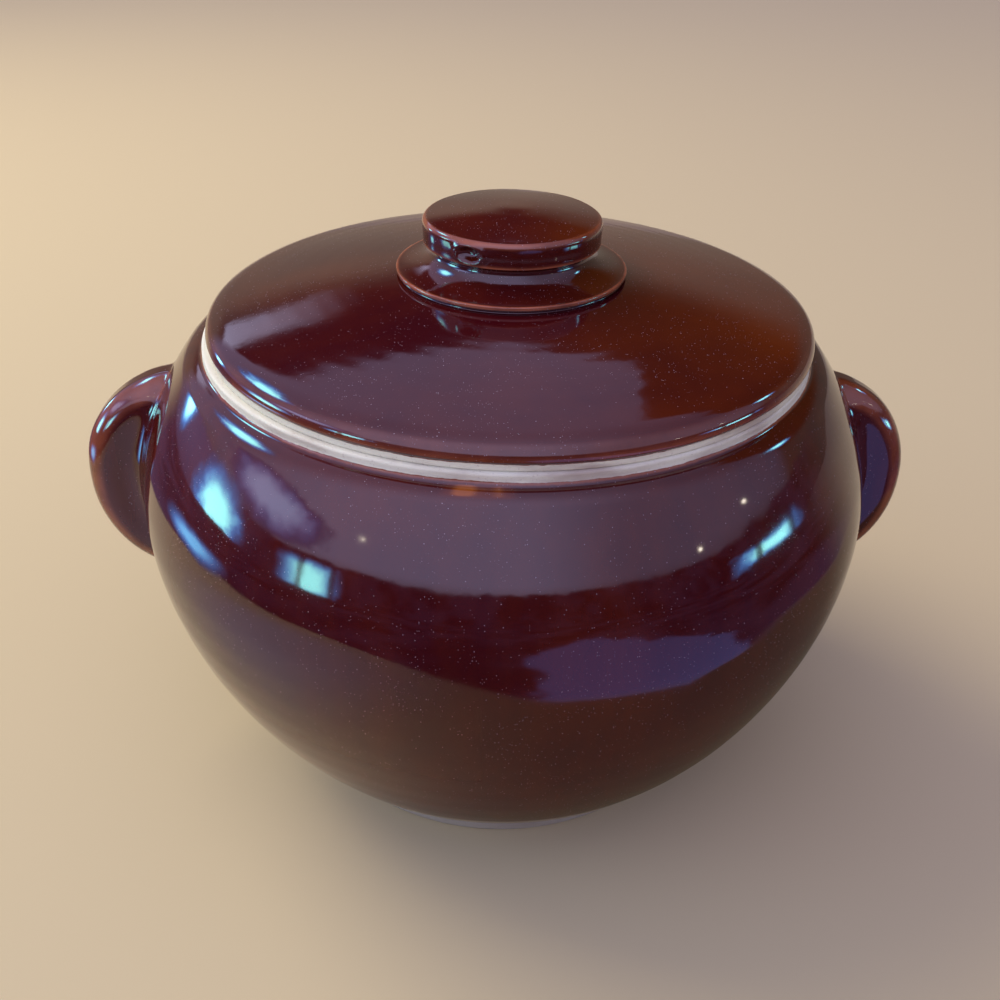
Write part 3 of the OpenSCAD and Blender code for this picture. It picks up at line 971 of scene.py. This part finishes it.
def clay_group():
    """Bare stoneware: cream clay with warm stain, fine sand and turning marks."""
    tree, given = group("bare stoneware", Clay=(0.5, 0.45, 0.4, 1), Stain=(0.3, 0.24, 0.18, 1))
    stain = ramp(tree, noise(tree, stretched(tree, 40, 40, 220), 1.0, 5), 0.42, 0.78)
    sand = ramp(tree, noise(tree, place(tree), 1500, 2), 0.60, 0.72)
    base = mix_colour(tree, stain, given["Clay"], given["Stain"])
    dotted = mix_colour(tree, maths(tree, "MULTIPLY", sand, 0.45), base, given["Stain"])
    turned = noise(tree, stretched(tree, 60, 60, 2600), 1.0, 2)
    grain = noise(tree, place(tree), 1800, 3)
    return put_out(tree, Color=dotted, Height=maths(tree, "MULTIPLY_ADD", turned, 0.25, grain))


def bump(tree, height, strength, millimetres, under=None):
    """The normal of a fine relief, over another normal if one is given."""
    inputs = {"Height": height, "Strength": strength, "Distance": millimetres * MM}
    if under is not None:
        inputs["Normal"] = under
    return add(tree, "ShaderNodeBump", inputs).outputs[0]


def shared_groups():
    """The node groups that the materials share, each built once."""
    makers = {
        "glaze tone": tone_group,
        "glaze break": break_group,
        "glaze line": bare_group,
        "fine specks": speck_group,
        "pinholes": pit_group,
        "bare stoneware": clay_group,
    }
    return {name: bpy.data.node_groups.get(name) or make() for name, make in makers.items()}


def glaze_material(name, look, runs=0.5, break_strength=1.0, dust=0.18, lip=1.2):
    """A glossy red-brown glaze that breaks to amber over edges, with pale specks and pinholes, and
    bare clay wherever the piece's own mark says that the glaze stops. A warm tone above 1 is amber, a
    painted reflection."""
    made = bpy.data.materials.new(name)
    made.use_nodes = True
    tree = made.node_tree
    tree.nodes.clear()
    groups = shared_groups()

    def use(label, **inputs):
        return add(tree, "ShaderNodeGroup", inputs, node_tree=groups[label])

    def mark(label):
        return add(tree, "ShaderNodeAttribute", attribute_name=label).outputs["Fac"]

    glazed = mark("glazed")
    thin = mark("thin")
    warmth = mark("warmth")
    tone = use("glaze tone", Runs=runs, Warmth=warmth).outputs["Tone"]
    broken = use("glaze break", Thin=thin, Strength=break_strength).outputs["Mask"]
    edge = use("glaze line", Glazed=glazed, Lip=lip)
    fine = use("fine specks", Scale=2300.0, Share=dust * 1.6, Size=0.21).outputs["Mask"]
    coarse = use("fine specks", Scale=640.0, Share=dust * 0.03, Size=0.075).outputs["Mask"]
    pits = use("pinholes", Scale=58.0, Size=0.035).outputs["Depth"]
    clay = use("bare stoneware", Clay=solid(look.clay), Stain=solid(look.clay_dark))

    # Deep to warm by the tone, whose warm side is partly painted reflection.
    body = mix_colour(tree, tone, solid(look.deep), solid(look.warm))
    # Amber where the warm tone passes 1: painted reflection.
    body = mix_colour(tree, ramp(tree, warmth, 1.0, 2.0), body, solid(look.amber))
    body = mix_colour(tree, broken, body, solid(look.broken))
    body = mix_colour(tree, edge.outputs["Lip"], body, solid(look.lip))
    specks = maths(tree, "MAXIMUM", fine, coarse)
    body = mix_colour(tree, maths(tree, "MULTIPLY", specks, 0.65), body, solid(look.speck))
    rise = parts(tree, place(tree))[2]
    # Painted shade: the bare clay is darkened towards the floor.
    near_floor_shade = ramp(tree, rise, 0.006, 0.014, 0.8, 0.0)
    foot_shaded_clay = mix_colour(tree, near_floor_shade, clay.outputs["Color"], solid(look.foot_shade))
    body = mix_colour(tree, edge.outputs["Clay"], body, foot_shaded_clay)

    smear = noise(tree, place(tree), 40, 4)
    rough = ramp(tree, smear, 0.35, 0.75, look.gloss, look.gloss + 0.05)
    rough = mix_value(tree, maths(tree, "MULTIPLY", specks, 0.8), rough, 0.6)
    rough = mix_value(tree, edge.outputs["Clay"], rough, 0.85)

    peel = noise(tree, place(tree), 330, 2, 0.4)
    normal = bump(tree, peel, 0.35, 0.03)
    normal = bump(tree, maths(tree, "SUBTRACT", 1.0, pits), 0.8, 0.3, normal)
    sandy = maths(tree, "MULTIPLY", clay.outputs["Height"], edge.outputs["Clay"])
    normal = bump(tree, sandy, 0.6, 0.12, normal)

    inputs = {"Base Color": body, "Roughness": rough, "IOR": 1.65, "Normal": normal}
    shader = add(tree, "ShaderNodeBsdfPrincipled", inputs)
    add(tree, "ShaderNodeOutputMaterial", {0: shader.outputs[0]})
    return made


# ---------------------------------------------------------------- the stage

# Lengths on the stage are in metres. Azimuths are in degrees, where 0 is +Y and 90 is +X, so the
# camera stands at 180 and the left is at -90.
CYAN = (0.34, 1.0, 1.0)
BLUE = (0.10, 0.36, 1.0)
TARGET_Z = 0.09  # the height that the lights aim at, and that the sweep's rise is measured from


def from_pot(azimuth, radius, height):
    """Points round the pot's axis, from azimuths, radii and heights of one shape."""
    a = np.radians(azimuth)
    return np.stack([radius * np.sin(a), radius * np.cos(a), height + 0 * a], axis=-1)


def make_floor(look):
    """A square, plain, matt floor, which mirrors nothing."""
    half = 6.0
    made = bpy.data.materials.new("floor")
    made.use_nodes = True
    shader = made.node_tree.nodes["Principled BSDF"]
    shader.inputs["Base Color"].default_value = solid(look.floor)
    shader.inputs["Roughness"].default_value = 0.9
    shader.inputs["Specular IOR Level"].default_value = 0.0
    mesh = bpy.data.meshes.new("floor")
    corners = [(-half, -half, 0), (half, -half, 0), (half, half, 0), (-half, half, 0)]
    mesh.from_pydata(corners, [], [(0, 1, 2, 3)])
    mesh.materials.append(made)
    floor = bpy.data.objects.new("floor", mesh)
    bpy.context.scene.collection.objects.link(floor)


def soft_light(name, middle, width, brightness, rgb):
    """A square soft light that faces the pot and isn't mirrored in it. Its power gives the
    brightness that its face shows: power = brightness x pi x area."""
    data = bpy.data.lights.new(name, "AREA")
    data.shape = "RECTANGLE"
    data.size = width
    data.size_y = width
    data.energy = brightness * math.pi * width * width
    data.color = rgb
    light = bpy.data.objects.new(name, data)
    light.location = middle
    aim = Vector((0, 0, TARGET_Z)) - Vector(middle)
    light.rotation_euler = aim.to_track_quat("-Z", "Y").to_euler()
    light.visible_glossy = False
    light.visible_camera = False
    bpy.context.scene.collection.objects.link(light)


def sheet(name, rows, material):
    """A sheet of the stage from a grid of points, with a UV map that runs from 0 to 1 both ways. It
    is only mirrored in the glaze: it isn't seen, and neither lights nor shades anything."""
    high, wide = rows.shape[:2]
    index = np.arange(high * wide).reshape(high, wide)
    faces = np.stack([index[:-1, :-1], index[:-1, 1:], index[1:, 1:], index[1:, :-1]], axis=2)
    faces = faces.reshape(-1, 4)
    mesh = bpy.data.meshes.new(name)
    mesh.from_pydata(rows.reshape(-1, 3).tolist(), [], faces.tolist())
    v, u = np.meshgrid(np.linspace(0, 1, high), np.linspace(0, 1, wide), indexing="ij")
    spots = np.stack([u.ravel(), v.ravel()], axis=1)[faces.ravel()]
    mesh.uv_layers.new(name="UVMap").data.foreach_set("uv", spots.astype(np.float32).ravel())
    mesh.materials.append(material)
    made = bpy.data.objects.new(name, mesh)
    made.visible_camera = False
    made.visible_diffuse = False
    made.visible_shadow = False
    bpy.context.scene.collection.objects.link(made)


def glowing(name):
    """A new material whose tree ends in emission over nothing, and its emission and share sockets."""
    made = bpy.data.materials.new(name)
    made.use_nodes = True
    tree = made.node_tree
    tree.nodes.clear()
    glow = tree.nodes.new("ShaderNodeEmission")
    mix = add(tree, "ShaderNodeMixShader", {1: add(tree, "ShaderNodeBsdfTransparent").outputs[0]})
    tree.links.new(glow.outputs[0], mix.inputs[2])
    add(tree, "ShaderNodeOutputMaterial", {0: mix.outputs[0]})
    return made, tree, glow, mix.inputs[0]


def sheet_spot(tree):
    """The sheet's UV, from 0 to 1 both ways."""
    return parts(tree, add(tree, "ShaderNodeTexCoord").outputs["UV"])[:2]


def from_middle(tree, power):
    """Distance from the sheet's middle, 1 at its edges: (|u|^n + |v|^n)^(1/n), with u and v from -1
    to 1, and those two."""
    spot = [maths(tree, "MULTIPLY_ADD", part, 2.0, -1.0) for part in sheet_spot(tree)]
    powers = [maths(tree, "POWER", maths(tree, "ABSOLUTE", part), power) for part in spot]
    return maths(tree, "POWER", maths(tree, "ADD", *powers), 1 / power), spot


def pane_material(name, core, halo, brightness, power, bars=0.0):
    """A soft pane: a bright core, a bluer halo and an edge that fades out. Its outline is a
    superellipse made slightly uneven by noise. bars is the half width of dark bars across it."""
    made, tree, glow, share = glowing(name)
    out, (u, _) = from_middle(tree, power)
    out = maths(tree, "MULTIPLY_ADD", unevenness(tree, place(tree), 9, 3), 0.5, out)
    inner = ramp(tree, out, 0.30, 0.72, 1.0, 0.0)
    tree.links.new(mix_colour(tree, inner, solid(halo), solid(core)), glow.inputs["Color"])
    level = ramp(tree, out, 0.25, 0.85, brightness, brightness * 0.16)
    if bars:
        turn = maths(tree, "FRACT", maths(tree, "MULTIPLY_ADD", u, 1.1, 0.2))
        gap = maths(tree, "ABSOLUTE", maths(tree, "SUBTRACT", turn, 0.5))
        level = maths(tree, "MULTIPLY", level, ramp(tree, gap, bars * 0.5, bars, 0.1, 1.0))
    tree.links.new(level, glow.inputs["Strength"])
    tree.links.new(ramp(tree, out, 0.72, 1.0, 1.0, 0.0), share)
    return made


def pane(name, azimuth, radius, height, width, tall, material):
    """An upright pane that faces the pot's axis."""
    half = math.degrees(width / 2 / radius)
    turn = np.linspace(azimuth - half, azimuth + half, 9)[None, :]
    level = np.linspace(height - tall / 2, height + tall / 2, 7)[:, None]
    sheet(name, from_pot(turn + 0 * level, radius, level), material)


def floor_tint(name, azimuth, near, far, width, rgb, brightness):
    """A soft round tint just above the floor. It is densest in the middle and fades out evenly."""
    made, tree, glow, share = glowing(name)
    glow.inputs["Color"].default_value = solid(rgb)
    glow.inputs["Strength"].default_value = brightness
    tree.links.new(ramp(tree, from_middle(tree, 2.0)[0], 0.20, 1.0, 0.85, 0.0), share)
    half = math.degrees(width / (near + far))
    turn = np.linspace(azimuth - half, azimuth + half, 9)[None, :]
    radius = np.linspace(near, far, 7)[:, None]
    height = 0.0012
    sheet(name, from_pot(turn + 0 * radius, radius, height), made)


def make_lights(look):
    """Two soft lights on the left that shape the pot, and the soft panes and sparks that are
    mirrored in its glaze."""
    soft_light("key", from_pot(-62, 1.0, 1.15), 0.9, look.key, (1.0, 0.88, 0.68))
    soft_light("fill", from_pot(-95, 1.4, 0.55), 0.7, look.key * 0.3, (0.55, 0.92, 1.0))
    soft = pane_material("soft pane", CYAN, BLUE, look.panes, 2.2)
    barred = pane_material("barred pane", CYAN, BLUE, look.panes, 5.0, bars=0.12)
    lilac = pane_material("lilac pane", (0.50, 0.58, 1.0), (0.32, 0.38, 1.0), look.panes * 0.32, 2.0)
    glow = pane_material("glow pane", (0.16, 0.55, 1.0), BLUE, look.panes * 0.5, 2.0)
    spark = pane_material("spark", (1.0, 0.93, 0.8), (1.0, 0.8, 0.6), 24.0, 2.0)
    # name, azimuth, radius, height, width, height of the pane, material
    for row in (
        ("left_pane_middle", -86, 1.6, 0.13, 0.80, 0.66, soft),
        ("left_pane_near", -122, 1.6, 0.11, 0.62, 0.40, barred),
        ("left_pane_far", -55, 1.6, 0.22, 0.34, 0.36, soft),
        ("left_pane_high", -102, 1.72, 0.64, 1.5, 0.60, lilac),
        ("left_pane_top", -58, 1.6, 1.38, 1.15, 0.85, soft),
        ("right_pane_top", 74, 1.6, 1.0, 0.30, 0.44, soft),
        ("right_pane", 103, 1.6, 0.09, 0.85, 0.24, barred),
        ("left_glow", -90, 0.31, 0.032, 0.17, 0.055, glow),
        ("left_spark", -135, 1.0, 0.49, 0.034, 0.026, spark),
        ("right_spark", 107, 1.0, 0.40, 0.034, 0.026, spark),
        ("front_spark", 126, 1.0, 0.33, 0.034, 0.026, spark),
    ):
        pane(*row)
    floor_tint("left_floor_tint", -126, 0.10, 0.34, 0.36, (0.86, 0.76, 1.0), 0.72)


def make_dark_sweep():
    """A dark sweep that is only mirrored. It lies on the floor round the front and both sides, and
    rises far out to about 11 degrees. Its near edge is worked out from its distance at a few
    azimuths. A patch of it is slate blue, and its upright part on the left is lilac. Inside its near
    edge, on the right and in front, a dim olive veil lies on the floor: painted shade, only mirrored."""
    azimuths = (62, 85, 107, 140, 175, 225, 262, 300, 322)
    distances = (0.30, 0.25, 0.235, 0.17, 0.185, 0.32, 0.35, 0.29, 0.27)
    foot_r = 0.064
    far_r = 1.75
    low = 0.002
    top = TARGET_Z + far_r * math.tan(math.radians(11.5))
    inside = 0.25
    turn = np.linspace(azimuths[0], azimuths[-1], 131)[None, :]
    near = np.interp(turn, azimuths, distances)
    out = np.linspace(-inside, 1, 51)[:, None]
    flat = near + (far_r - near) * np.clip(out / 0.75, 0, 1) ** 1.5
    radius = np.where(out < 0, near + (near - foot_r) * out / inside, flat)
    height = low + (top - low) * np.clip(out * 4 - 3, 0, 1)

    made, tree, glow, share = glowing("dark sweep")
    u, v = sheet_spot(tree)
    v = maths(tree, "MULTIPLY_ADD", v, 1 + inside, -inside)
    ragged = unevenness(tree, place(tree), 7, 5, 0.6)
    upper = maths(tree, "MULTIPLY_ADD", ragged, 0.10, v)
    # The share of the painted shade veil inside the near edge: dense on the right and in front, none on
    # the left.
    inner = ramp(tree, u, 0.40, 0.70, 0.72, 0.0)
    fade = ramp(tree, v, 0.0, 0.035, inner, 1.0)
    fade = maths(tree, "MULTIPLY", fade, ramp(tree, upper, 0.95, 0.985, 1.0, 0.0))
    sides = maths(tree, "MULTIPLY", ramp(tree, u, 0.0, 0.12), ramp(tree, u, 0.94, 1.0, 1.0, 0.0))
    tree.links.new(maths(tree, "MULTIPLY", fade, sides), share)

    moved = add(tree, "ShaderNodeMapping", {"Vector": place(tree), "Location": (-0.135, 0.30, 0)})
    inputs = {"Vector": moved.outputs[0], "Scale": (8.0, 4.4, 1.0)}
    patch = add(tree, "ShaderNodeMapping", inputs).outputs[0]
    away = add(tree, "ShaderNodeVectorMath", {0: patch}, operation="LENGTH").outputs["Value"]
    away = maths(tree, "ADD", ragged, away)
    in_patch = ramp(tree, away, 0.90, 1.02, 1.0, 0.0)
    blue = maths(tree, "MULTIPLY", in_patch, ramp(tree, v, -0.002, 0.008))
    cloudy = ramp(tree, noise(tree, place(tree), 5, 4), 0.38, 0.62)
    shade = mix_colour(tree, cloudy, (0.030, 0.016, 0.028, 1), (0.11, 0.07, 0.15, 1))
    upright = ramp(tree, v, 0.60, 0.90, 0.12, 1.0)
    left = maths(tree, "MULTIPLY", ramp(tree, u, 0.72, 0.85), upright)
    shade = mix_colour(tree, left, shade, (0.36, 0.36, 0.78, 1))
    # Dim olive inside the near edge: painted shade of the floor beside the pot, seen only in the glaze.
    shade = mix_colour(tree, ramp(tree, v, -0.02, 0.01), (0.050, 0.040, 0.020, 1), shade)
    tree.links.new(mix_colour(tree, blue, shade, (0.24, 0.30, 0.85, 1)), glow.inputs["Color"])
    sheet("dark_sweep", from_pot(turn + 0 * out, radius, height), made)


def make_world(look):
    """Plain light by direction: a plain surround, a dark band above it behind the pot, and a wide
    pale light overhead, which reaches lower in front and is dimmer on the right."""
    world = bpy.data.worlds.new("surround")
    bpy.context.scene.world = world
    world.use_nodes = True
    tree = world.node_tree
    way = add(tree, "ShaderNodeTexCoord").outputs["Generated"]
    x, y, z = parts(tree, way)
    flat = maths(tree, "MULTIPLY_ADD", maths(tree, "MULTIPLY", z, z), -1.0, 1.0001)
    flat = maths(tree, "SQRT", flat)
    ahead = maths(tree, "DIVIDE", y, flat)
    beside = maths(tree, "DIVIDE", x, flat)
    behind = maths(tree, "MULTIPLY_ADD", beside, 0.40, ahead)

    # The overhead light starts low in front and high behind, with a crisp uneven edge behind only.
    back_right = maths(tree, "MULTIPLY", ramp(tree, ahead, 0.0, 0.3), ramp(tree, beside, 0.34, 0.42))
    start = ramp(tree, behind, 0.42, 0.88, 0.14, 0.645)
    start = maths(tree, "MULTIPLY_ADD", back_right, 0.12, start)
    sharp = ramp(tree, start, 0.30, 0.60)
    ragged = maths(tree, "MULTIPLY", unevenness(tree, way, 9, 4), 0.10)
    rise = maths(tree, "MULTIPLY_ADD", ragged, sharp, z)
    soft = mix_value(tree, sharp, 0.12, 0.012)
    past = maths(tree, "DIVIDE", maths(tree, "SUBTRACT", rise, start), soft)
    over = ramp(tree, past, -1.0, 1.0)

    band = mix_colour(tree, ramp(tree, beside, 0.05, 0.30), solid(look.dim), solid(look.brown))
    right = ramp(tree, x, 0.0, 0.60, 1.0, 0.48)
    around = scaled(tree, look.surround, right)
    around = mix_colour(tree, ramp(tree, z, 0.26, 0.44), around, band)
    patch = ramp(tree, rise, 0.36, 0.39)
    for value, low, high, first, last in (
        (rise, 0.45, 0.48, 1.0, 0.0),
        (beside, -0.44, -0.16, 1.0, 0.0),
        (ahead, 0.0, 0.4, 0.0, 1.0),
    ):
        patch = maths(tree, "MULTIPLY", patch, ramp(tree, value, low, high, first, last))
    around = mix_colour(tree, patch, around, (1.3, 1.3, 1.9, 1))
    front = ramp(tree, y, -0.45, 0.40, 1.05, 0.50)
    overhead = scaled(tree, look.overhead, maths(tree, "MULTIPLY", front, right))
    shade = mix_colour(tree, over, around, overhead)
    tree.links.new(shade, tree.nodes["Background"].inputs["Color"])


def make_camera(look):
    """A camera whose axes are worked out from its pitch, yaw and roll towards the pot's axis."""
    data = bpy.data.cameras.new("camera")
    data.lens = look.lens
    data.sensor_width = 36
    data.sensor_fit = "HORIZONTAL"
    data.clip_start = 0.01
    data.clip_end = 50
    camera = bpy.data.objects.new("camera", data)
    place_at = Vector((look.camera_x, look.camera_y, look.camera_z)) * MM
    level = Vector((-place_at.x, -place_at.y, 0)).normalized()
    right = level.cross(Vector((0, 0, 1)))
    ahead = Matrix.Rotation(-math.radians(look.pitch), 3, right) @ level
    up = right.cross(ahead)
    yaw = Matrix.Rotation(math.radians(look.yaw), 3, up)
    ahead = yaw @ ahead
    right = yaw @ right
    roll = Matrix.Rotation(math.radians(look.roll), 3, ahead)
    right = roll @ right
    up = roll @ up
    axes = Matrix((right, up, -ahead)).transposed()
    camera.matrix_world = Matrix.Translation(place_at) @ axes.to_4x4()
    bpy.context.scene.collection.objects.link(camera)
    bpy.context.scene.camera = camera


# ---------------------------------------------------------------- operators


def settings():
    """The scene's sizes and colours, as plain values."""
    own = bpy.context.scene.bean_pot
    return SimpleNamespace(
        **{key: plain(getattr(own, key)) for key in ("pot", "lug", "lid", "knob", "glaze", "studio")}
    )


def settle(piece, body, node):
    """Makes a piece ride on its body and stand for its node, whose imported part it hides."""
    if not piece.data.polygons:
        raise RuntimeError(f"{piece.name} has no faces")
    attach(piece, body)
    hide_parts(node)


class BEANPOT_OT_pot(Operator):
    """Makes the thrown pot"""

    bl_idname = "beanpot.make_pot"
    bl_label = "Make the pot"

    def execute(self, context):
        s = settings()
        rows, marks = make_pot_rows(s.pot)
        glaze = glaze_material("pot glaze", s.glaze, runs=0.45, dust=0.10, lip=0.9)
        settle(skin("thrown_pot", rows, marks, glaze), POT_BODY, "pot")
        return {"FINISHED"}


class BEANPOT_OT_lugs(Operator):
    """Makes the two ear lugs, luted to the pot"""

    bl_idname = "beanpot.make_lugs"
    bl_label = "Make the ear lugs"

    def execute(self, context):
        s = settings()
        glaze = glaze_material("lug glaze", s.glaze, runs=0.45, dust=0.07)
        for side, node in ((-1, "left_lug"), (1, "right_lug")):
            rows, marks = make_lug_rows(s.pot, s.lug, side)
            settle(skin(f"ear_{node}", rows, marks, glaze), POT_BODY, node)
        return {"FINISHED"}


class BEANPOT_OT_lid(Operator):
    """Makes the loose lid"""

    bl_idname = "beanpot.make_lid"
    bl_label = "Make the lid"

    def execute(self, context):
        s = settings()
        rows, marks = make_lid_rows(s.pot, s.lid, s.knob)
        glaze = glaze_material("lid glaze", s.glaze, runs=0.15, dust=0.14, lip=0.25, break_strength=0.8)
        settle(skin("domed_lid", rows, marks, glaze), LID_BODY, "lid")
        return {"FINISHED"}


class BEANPOT_OT_knob(Operator):
    """Makes the lid's disc knob"""

    bl_idname = "beanpot.make_knob"
    bl_label = "Make the knob"

    def execute(self, context):
        s = settings()
        rows, marks = make_knob_rows(s.pot, s.lid, s.knob)
        glaze = glaze_material("knob glaze", s.glaze, runs=0.2, dust=0.12, break_strength=0.9)
        settle(skin("disc_knob", rows, marks, glaze), LID_BODY, "knob")
        return {"FINISHED"}


class BEANPOT_OT_stage(Operator):
    """Makes the floor, the lights and the camera"""

    bl_idname = "beanpot.make_stage"
    bl_label = "Make the stage"

    def execute(self, context):
        look = settings().studio
        make_floor(look)
        make_world(look)
        make_lights(look)
        make_dark_sweep()
        make_camera(look)
        context.scene.view_settings.view_transform = "Standard"
        return {"FINISHED"}


OPERATORS = (BEANPOT_OT_pot, BEANPOT_OT_lugs, BEANPOT_OT_lid, BEANPOT_OT_knob, BEANPOT_OT_stage)


class BEANPOT_PT_panel(Panel):
    """Lists the steps that make the bean pot"""

    bl_idname = "BEANPOT_PT_panel"
    bl_label = "Bean pot"
    bl_space_type = "VIEW_3D"
    bl_region_type = "UI"
    bl_category = "Bean pot"

    def draw(self, context):
        for step in OPERATORS:
            self.layout.operator(step.bl_idname)


CLASSES = (*GROUPS, BeanPotSettings, *OPERATORS, BEANPOT_PT_panel)


def register():
    """Registers the classes and the scene's settings."""
    for made in CLASSES:
        bpy.utils.register_class(made)
    bpy.types.Scene.bean_pot = PointerProperty(type=BeanPotSettings)


def unregister():
    """Takes them away again."""
    del bpy.types.Scene.bean_pot
    for made in reversed(CLASSES):
        bpy.utils.unregister_class(made)


def main():
    """Makes every piece in order."""
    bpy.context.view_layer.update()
    register()
    bpy.ops.beanpot.make_pot()
    bpy.ops.beanpot.make_lugs()
    bpy.ops.beanpot.make_lid()
    bpy.ops.beanpot.make_knob()
    bpy.ops.beanpot.make_stage()


if __name__ == "__main__":
    main()
